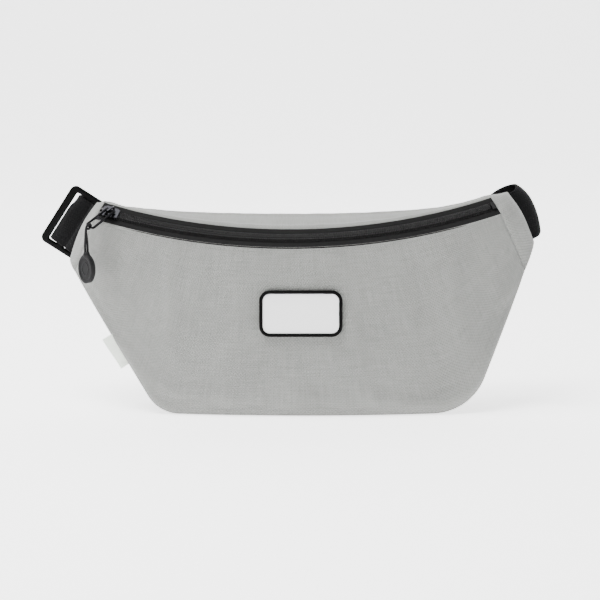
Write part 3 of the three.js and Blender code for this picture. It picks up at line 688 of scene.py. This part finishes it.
def build_end_caps():
    for side, station, seam_station in (("left", FIRST, 0.0), ("right", LAST, 1.0)):
        grid = cap_grid(station, seam_station, np.radians(np.linspace(0, 87, 30)))
        inner = inside_at(station + (0.03 if side == "left" else -0.03))
        heart = vec(inner[0], *inside_at(station)[1:])
        dress(shell(side + "_nose", grid, FABRIC * 0.8, heart), "bag", "grey_fabric", side + "_end_cap")


def stitches(name, lines, out, slot, length=2.5, step=3.3, radius=0.26, lift=0.12, body="bag"):
    """Rows of lockstitch, each stitch sunk at both of its ends."""
    parts = []
    for line in lines:
        line = np.asarray(line, float)
        run = by_length(line)
        total = np.linalg.norm(np.diff(line, axis=0), axis=1).sum()
        for start in np.arange(0.5, total - length, step):
            share = (start + np.linspace(0, length, 5)) / total
            p = np.stack([np.interp(share, run, line[:, k]) for k in range(3)], 1)
            rise = np.array([-0.25, 0.1, 0.2, 0.1, -0.25])[:, None] + lift
            parts.append(tube(p + unit(out) * rise, [radius * 0.6, radius, radius, radius, radius * 0.6], 5))
    return dress(many(name, parts), body, slot)


def build_topstitch():
    stations = np.linspace(FIRST + 0.004, LAST - 0.004, 160)
    row = lambda share: [front_point(s, share(s)) for s in stations]
    below = lambda s: 3.0 / np.linalg.norm(front_seam(s) - zip_point(zip_angle(s), HALF_BAND))
    stitches("zip_stitches_lower", [row(below)], vec(0, -0.9, 0.45), "grey_fabric")
    top = [top_point(s, 3.0 / np.linalg.norm(top_seam(s) - zip_point(zip_angle(s), -HALF_BAND))) for s in stations]
    stitches("zip_stitches_upper", [top], vec(0, -0.3, 0.95), "grey_fabric")


build_cloth()
build_end_caps()
build_topstitch()


# ---------------------------------------------------------------- zip
def band(reaches, lifts, first, last, count=160):
    """A closed band that follows the zip. reaches and lifts draw its section."""
    angles = np.linspace(first, last, count)
    section = list(zip(reaches, lifts))
    k = len(section)
    points = [zip_point(a, r, z) for a in angles for r, z in section]
    uv = [(a * ZIP_R, r) for a in angles for r, z in section]
    faces = [(i * k + j, i * k + (j + 1) % k, (i + 1) * k + (j + 1) % k, (i + 1) * k + j)
             for i in range(count - 1) for j in range(k)]
    faces += [tuple(range(k))[::-1], tuple(range((count - 1) * k, count * k))]
    return points, faces, uv


def build_zip():
    for side, sign in (("lower", 1), ("upper", -1)):
        reaches = [sign * r for r in (0.5, 0.6, 3.0, 5.6, 7.6, 8.6, 8.6, 0.5)]
        lifts = [-0.9, -0.35, -0.3, -0.3, -0.35, -0.6, -1.0, -1.0]
        points, faces, uv = band(reaches, lifts, ZIP_LEFT - 0.002, ZIP_RIGHT + 0.002)
        if sign < 0:
            faces = [f[::-1] for f in faces]
        dress(make("tape_" + side, points, faces, uv), "bag", "zip_tape", "zip_tape_" + side)

        pitch = 1.25
        first, last = ZIP_LEFT + 2.6 / ZIP_R, ZIP_RIGHT - 4.2 / ZIP_R
        parts = []
        for k, angle in enumerate(np.arange(first, last, pitch / ZIP_R)):
            a = angle + (0.5 * pitch / ZIP_R if sign < 0 else 0)
            lean = 0.18 / ZIP_R
            route = [zip_point(a + lean, sign * 2.9, 0.0), zip_point(a + lean, sign * 2.9, 0.55),
                     zip_point(a, sign * 2.3, 0.98), zip_point(a, sign * 0.6, 1.0),
                     zip_point(a, -sign * 0.35, 0.92), zip_point(a, -sign * 0.55, 0.45)]
            parts.append(tube(catmull(route, 2), 0.36, 6))
        core = [zip_point(a, sign * 1.5, 0.3) for a in np.linspace(first, last, 120)]
        parts.append(tube(core, 0.5, 6))
        dress(many("coil_" + side, parts), "bag", "zip_coil", "zip_coil_" + side)


build_zip()


# ---------------------------------------------------------------- slider, tab and puller
ALONG = vec(-0.545286, -0.738575, -0.396446)
ACROSS = vec(0.827151, -0.397379, -0.397379)
UP = vec(0.135955, -0.544606, 0.827599)
TAB_AT = vec(-136.9104, -7.9170, 143.0227)
EYE = vec(-149.6974, -25.2366, 133.7260)
TAB_THICK, TAB_HALF, TAB_CORNER, TAB_END = 1.35, 3.6, 2.5, 21.5
CORD_R, CORD_TURN = 0.8, 1.75
HANG, SWAY = 20, -3
DISC_WIDE, DISC_HIGH, DISC_THICK, DISC_TURN = 14.5, 20.5, 3.2, -40


def bevelled(node, width=0.3, slot="black_plastic", segments=2):
    """The piece as it was cut, with its edges broken."""
    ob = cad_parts[node]
    ob.data.materials.clear()
    ob.data.materials.append(LOOKS[slot])
    bevel = ob.modifiers.new("edges", "BEVEL")
    bevel.width = width * MM
    bevel.segments = segments
    bevel.limit_method = "ANGLE"
    bevel.angle_limit = math.radians(35)
    bevel.harden_normals = False
    return ob


def build_pull():
    for node in ("slider_body", "slider_bridge"):
        bevelled(node, 0.25, "dark_metal")
    for node in ("zip_top_stop_lower", "zip_top_stop_upper", "zip_bottom_stop"):
        bevelled(node, 0.2, "zip_coil")
    outline = [(-0.9, -TAB_HALF)]
    for first, side in ((-90, -1), (0, 1)):
        outline += [(TAB_END + TAB_CORNER * math.cos(a), side * (TAB_HALF - TAB_CORNER) + TAB_CORNER * math.sin(a))
                    for a in np.radians(np.linspace(first, first + 90, 8))]
    outline += [(-0.9, TAB_HALF)]
    window = lambda a, b: [(x + (a + b) / 2, y) for x, y in rounded(b - a, 4.2, 0.9, 5)]
    tab = plate("tab", outline, TAB_THICK, 0.3, [window(0.55, 11), window(13, 22.9)],
                axes(TAB_AT, ALONG, ACROSS, UP))
    dress(tab, "pull_tab", "dark_metal", "pull_tab")

    top = EYE - vec(0, 0, HANG) + ACROSS * SWAY
    side = vec(-math.cos(math.radians(35)), -math.sin(math.radians(35)), 0)
    strand = lambda sign: [top + side * 0.9 * sign - vec(0, 0, 1.5), top + side * 0.9 * sign + vec(0, 0, 7),
                           EYE + ALONG * 3.4 + UP * 1.3 * sign, EYE + UP * CORD_TURN * sign]
    bend = [EYE + (UP * math.cos(a) - ALONG * math.sin(a)) * CORD_TURN for a in np.radians((45, 90, 135))]
    route = catmull(strand(1) + bend + strand(-1)[::-1], 9)
    sides = 14
    points, faces = tube(route, CORD_R, sides)
    run = by_length(route) * 48
    uv = [(j * 5.03 / sides + run[k], run[k]) for k in range(len(route)) for j in range(sides)]
    dress(make("cord_loop", points, faces, uv), "puller", "cord", "puller_cord")

    ring = []
    for a in np.linspace(0, 2 * math.pi, 64, endpoint=False):
        pinch = 1 - 0.16 * max(math.sin(a), 0) ** 3
        ring.append((DISC_WIDE / 2 * math.cos(a) * pinch, DISC_HIGH / 2 * math.sin(a)))
    turn = math.radians(DISC_TURN)
    x, y = vec(math.cos(turn), math.sin(turn), 0), vec(0, 0, 1)
    z = np.cross(x, y)
    at = top + vec(0, 0, -DISC_HIGH / 2 - 0.6)
    disc = plate("disc", ring, DISC_THICK, 1.3, matrix=axes(at, x, y, z))
    dress(disc, "puller", "tag_rubber", "puller_disc")
    scale = lambda k: [(px * k, py * (k + 0.03)) for px, py in ring]
    inner = [(px * 0.46, py * 0.5) for px, py in ring]
    hole = [(px * 0.34, py * 0.38) for px, py in ring]
    for side, sign in (("front", 1), ("back", -1)):
        m = axes(at + z * 1.35 * sign, x, y, z)
        rim = plate("disc_rim_" + side, scale(0.97), 1.3, 0.5, [scale(0.72)[::-1]], m)
        dress(rim, "puller", "tag_rubber")
        oval = plate("disc_oval_" + side, inner, 0.9, 0.35, [hole[::-1]], m)
        dress(oval, "puller", "tag_rubber")
    collar = [top + vec(0, 0, 0.9), top + vec(0, 0, -0.4), top + vec(0, 0, -2)]
    dress(many("disc_neck", [tube(collar, [1.9, 2.3, 2.6], 16)]), "puller", "tag_rubber")


build_pull()


# ---------------------------------------------------------------- badge and label
def build_badge():
    s, v = BADGE["station"], BADGE["share"]
    centre = front_point(s, v)
    along = front_point(s + 0.01, v) - front_point(s - 0.01, v)
    down = front_point(s, v + 0.05) - front_point(s, v - 0.05)
    n = unit(np.cross(down, along))
    n = -n if n[1] > 0 else n
    x = unit(vec(1, 0, 0) - n * n[0])
    y = np.cross(n, x)
    w, h, b, c = BADGE["width"], BADGE["height"], BADGE["border"], BADGE["corner"]
    at = lambda lift: axes(centre + n * lift, x, y, n)
    ring = plate("badge_ring", rounded(w, h, c, 12), 2.9, 0.8,
                 [rounded(w - 2 * b, h - 2 * b, c - b, 12)[::-1]], at(1.45))
    dress(ring, "bag", "black_plastic", "badge_frame")
    face = plate("badge_face", rounded(w - 2 * b - 0.3, h - 2 * b - 0.3, c - b - 0.15, 12), 1.8, 0.2, matrix=at(1.0))
    dress(face, "bag", "badge_white", "badge_plate")


def build_label():
    """A folded woven label sewn into the side seam: two plies that part a little."""
    s = 0.155
    foot, seam = rib_foot(s), front_seam(s)
    ahead = unit(rib_foot(s + 0.005) - rib_foot(s - 0.005))
    out = vec(-ahead[1], ahead[0])
    out = -out if out[0] > 0 else out
    rows = []
    for u in np.linspace(-12.3, 12.3, 26):
        row = []
        for k in range(25):
            t = k / 24
            reach = -1.5 + 8.3 * (1 - abs(2 * t - 1) ** 2.2)
            part = (0.5 - t) * 1.5 * math.sin(math.pi * t) ** 0.4
            wave = 0.35 * math.sin(u * 0.35) * max(reach, 0) / 7
            row.append(vec(foot[0] + ahead[0] * u + out[0] * reach, seam[1] + 2 + part + wave,
                           foot[1] + ahead[1] * u + out[1] * reach))
        rows.append(row)
    grid = np.array(rows)
    middle = vec(foot[0] + out[0] * 2, seam[1] + 2, foot[1] + out[1] * 2)
    dress(shell("folded_label", grid, 0.3, middle), "bag", "label_fabric", "side_label")


build_badge()
build_label()


# ---------------------------------------------------------------- belt
class End:
    """A frame at one end of the belt: x out of the bag, y to the back, z across the webbing."""

    def __init__(self, seat, degrees):
        a = math.radians(degrees)
        self.seat = seat
        self.x = vec(math.cos(a), 0, -math.sin(a))
        self.y = vec(0, 1, 0)
        self.z = vec(math.sin(a), 0, math.cos(a))

    def at(self, x, y, z=0.0):
        return self.seat + self.x * x + self.y * y + self.z * z


LEFT, RIGHT = End(LEFT_SEAT, LEFT_TURN), End(RIGHT_SEAT, RIGHT_TURN)


def arc(x, y, radius, first, last, count=14):
    return [(x + radius * math.cos(a), y + radius * math.sin(a)) for a in np.radians(np.linspace(first, last, count))]


def refine(route, step=1.2):
    """Extra points along a route, so that it can bend and carry a weave."""
    route = np.array(route, float)
    out = [route[0]]
    for a, b in zip(route[:-1], route[1:]):
        count = max(int(math.ceil(np.linalg.norm(b - a) / step)), 1)
        out += [a + (b - a) * k / count for k in range(1, count + 1)]
    return np.array(out)


def webbing(name, end, route, warp, width=WEB_W, thickness=WEB_T):
    """A woven band along a route, with a full, rounded selvedge. warp cups it: a shift out and across."""
    p = refine(route)
    t = np.gradient(p, axis=0)
    t /= np.maximum(np.linalg.norm(t, axis=1, keepdims=True), 1e-9)
    n = np.stack([-t[:, 1], t[:, 0]], 1)
    h, r = width / 2, thickness / 2
    zs = np.linspace(-h + r, h - r, 20)
    section = ([(z, r * (1 + 0.06 * math.cos(z * 1.9))) for z in zs]
               + [(h - r + r * math.cos(a), r * math.sin(a)) for a in np.radians((60, 25, 0, -25, -60))]
               + [(z, -r) for z in zs[::-1]]
               + [(-h + r - r * math.cos(a), -r * math.sin(a)) for a in np.radians((60, 25, 0, -25, -60))])
    k = len(section)
    run = np.concatenate([[0], np.cumsum(np.linalg.norm(np.diff(p, axis=0), axis=1))])
    points = []
    for i in range(len(p)):
        for z, off in section:
            out, across = warp(p[i][0], p[i][1], z)
            points.append(end.at(*(p[i] + n[i] * off + vec(out, 0)), z + across))
    uv = [(z, run[i]) for i in range(len(p)) for z, off in section]
    faces = [(i * k + j, (i + 1) * k + j, (i + 1) * k + (j + 1) % k, i * k + (j + 1) % k)
             for i in range(len(p) - 1) for j in range(k)]
    faces += [tuple(range(k)), tuple(range((len(p) - 1) * k, len(p) * k))[::-1]]
    ob = make(name, points, faces, uv)
    return ob


def face_out(ob):
    """Turns every face of a closed mesh outwards."""
    b = bmesh.new()
    b.from_mesh(ob.data)
    bmesh.ops.recalc_face_normals(b, faces=b.faces)
    b.to_mesh(ob.data)
    b.free()
    return ob


def build_left():
    fx, fy, fr = 11.2, 31.35, 4.5
    first = fy + fr
    step = 1.9
    rows = [first + step * k for k in (1, 2, 3, 4)]
    bar = (-118.0, 38.6)
    route = [(-12, END_Y), (-0.5, END_Y), (2.6, 24.3), (4.6, fy - fr)] + arc(fx, fy, fr, -90, 90)
    route += [(2, first), (-40, first + 0.05), (-90, first)]
    route += arc(*bar, 2.75, 270, 90)
    route += [(-110, bar[1] + 2.35), (-98, rows[0])]
    route += arc(-10, rows[0] + step / 2, step / 2, -90, 90, 7)
    route += arc(-96, rows[1] + step / 2, step / 2, 270, 90, 7)
    route += arc(-13, rows[2] + step / 2, step / 2, -90, 90, 7)
    route += [(-50, rows[3] - 0.1), (-88, rows[3])]
    ease = lambda a: a * a * (3 - 2 * a)
    clamp = lambda a: min(max(a, 0.0), 1.0)
    warp = lambda x, y, z: (1.6 * ease(clamp((x - 4) / 6)) * ease(clamp((z + 15) / 8)), 0.0)
    belt = face_out(webbing("left_belt_cloth", LEFT, route, warp))
    d = unit(vec(-0.2, 1))
    start, stop = LEFT.at(*(d * 28.44)) * MM, LEFT.at(*(d * 32.36)) * MM
    dress(belt, None, "black_webbing", "left_belt_webbing", "left_webbing_anchor")
    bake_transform(belt)
    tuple(start)
    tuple(stop)

    low, high = first - 1.9, rows[3] + 1.9
    loop = []
    for z, y in rounded(WEB_W + 3.4, high - low, 2.2, 7):
        loop.append((z, y + (low + high) / 2))
    loop = np.array(loop)
    points, uv, faces = [], [], []
    xs = np.linspace(-62, -48, 12)
    for x in xs:
        for k, (z, y) in enumerate(loop):
            points.append(LEFT.at(x, y, z))
            uv.append((x, k * 3.0))
    k = len(loop)
    count = k * len(xs)
    for x in xs:
        for z, y in loop:
            points.append(LEFT.at(x, y + (1.0 if y > (low + high) / 2 else -1.0), z * (1 + 1.0 / (WEB_W / 2 + 1.7))))
            uv.append((x, y * 3.0))
    for i in range(len(xs) - 1):
        for j in range(k):
            a, b, c, e = i * k + j, i * k + (j + 1) % k, (i + 1) * k + (j + 1) % k, (i + 1) * k + j
            faces += [(a, b, c, e), (count + a, count + e, count + c, count + b)]
    for j in range(k):
        b = (j + 1) % k
        last = (len(xs) - 1) * k
        faces += [(j, count + j, count + b, b), (last + j, last + b, count + last + b, count + last + j)]
    dress(face_out(make("keeper_band", points, faces, uv)), "left_belt", "zip_tape", "elastic_keeper")

    hole = lambda x0, x1: [(x + (x0 + x1) / 2, z) for x, z in rounded(x1 - x0, 39.6, 1.2, 5)]
    glide = plate("glide", rounded(30, 48, 4.5, 10), 3.2, 1.3, [hole(-9.5, -2.5), hole(2.5, 9.5)],
                  axes(LEFT.at(8.9, 29.5), LEFT.x, LEFT.z, -LEFT.y))
    dress(glide, "tri_glide", "black_plastic", "tri_glide")
    for node in ("male_buckle", "male_arm_upper", "male_arm_lower"):
        bevelled(node, 0.6, segments=3)


def build_right():
    fx, fy, fr = 1.5, 29.0, 6.0
    first = fy + fr
    bar = (-112.0, 37.75)
    route = [(-12, END_Y)] + arc(fx, fy, fr, -90, 90)
    route += [(-6, first), (-50, first + 0.05), (-90, first)]
    route += arc(*bar, 2.75, 270, 90)
    route += [(-104, bar[1] + 2.35), (-93, first + 1.9), (-58, first + 1.9)]

    def warp(x, y, z):
        """The band bends round the full end of the bag, and rides up a little behind it."""
        near = min(max((x + 9) / 11, 0), 1)
        crest = 4.2
        reach = WEB_W / 2 - crest if z > crest else WEB_W / 2 + crest
        cup = 1 - ((z - crest) / reach) ** 2
        lift = 4.5 * math.exp(-((x + 4) / 17) ** 2) * min(max((y - 24) / 6, 0), 1)
        return 4.7 * near * near * (3 - 2 * near) * max(cup, -0.1), lift

    belt = face_out(webbing("right_belt_cloth", RIGHT, route, warp))
    d = unit(vec(-0.2, 1))
    start, stop = RIGHT.at(*(d * 28.2)) * MM, RIGHT.at(*(d * 32.8)) * MM
    dress(belt, None, "black_webbing", "right_belt_webbing", "right_webbing_anchor")
    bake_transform(belt)
    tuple(start)
    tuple(stop)
    bevelled("female_buckle", 0.8, segments=3)


build_left()
build_right()


# ---------------------------------------------------------------- stage
def build_stage():
    profile = [(-2.5, 0.0), (1.2, 0.0)] + [(1.2 + 0.8 * math.sin(a), 0.8 - 0.8 * math.cos(a))
                                        for a in np.radians(np.linspace(5, 90, 14))] + [(2.0, 4.0)]
    points = [vec(x, y, z - 0.0004) / MM for y, z in profile for x in (-4, 4)]
    faces = [(2 * k, 2 * k + 1, 2 * k + 3, 2 * k + 2) for k in range(len(profile) - 1)]
    floor = make("floor", points, faces)
    n = Nodes("pale floor")
    floor.data.materials.append(n.finish((0.92, 0.92, 0.92, 1), 0.8, Emission_Color=(1, 1, 1, 1),
                                       Emission_Strength=2.1))

    def light(name, at, aim, power, size):
        data = bpy.data.lights.new(name, "AREA")
        data.energy = power
        data.shape = "DISK"
        data.size = size
        ob = bpy.data.objects.new(name, data)
        bpy.context.scene.collection.objects.link(ob)
        ob.location = at
        ob.rotation_euler = (Vector(aim) - Vector(at)).to_track_quat("-Z", "Y").to_euler()

    light("top", (-0.5, -0.25, 1.6), (0, 0, 0.05), 58, 1.0)
    light("left", (-1.5, -1.0, 1.1), (0, 0, 0.08), 7, 0.8)
    light("right", (1.4, -1.3, 0.8), (0, 0, 0.08), 1.5, 1.0)
    world = bpy.data.worlds.new("studio")
    world.use_nodes = True
    world.node_tree.nodes["Background"].inputs[0].default_value = (1, 1, 1, 1)
    world.node_tree.nodes["Background"].inputs[1].default_value = 0.3
    bpy.context.scene.world = world

    data = bpy.data.cameras.new("camera")
    data.lens = 100
    data.sensor_width = 36
    camera = bpy.data.objects.new("camera", data)
    bpy.context.scene.collection.objects.link(camera)
    aim = Vector((-0.0036, 0.0, 0.0777))
    tilt = math.radians(10)
    camera.location = aim + 1.19 * Vector((0, -math.cos(tilt), math.sin(tilt)))
    camera.rotation_euler = (aim - camera.location).to_track_quat("-Z", "Y").to_euler()
    bpy.context.scene.camera = camera


build_stage()
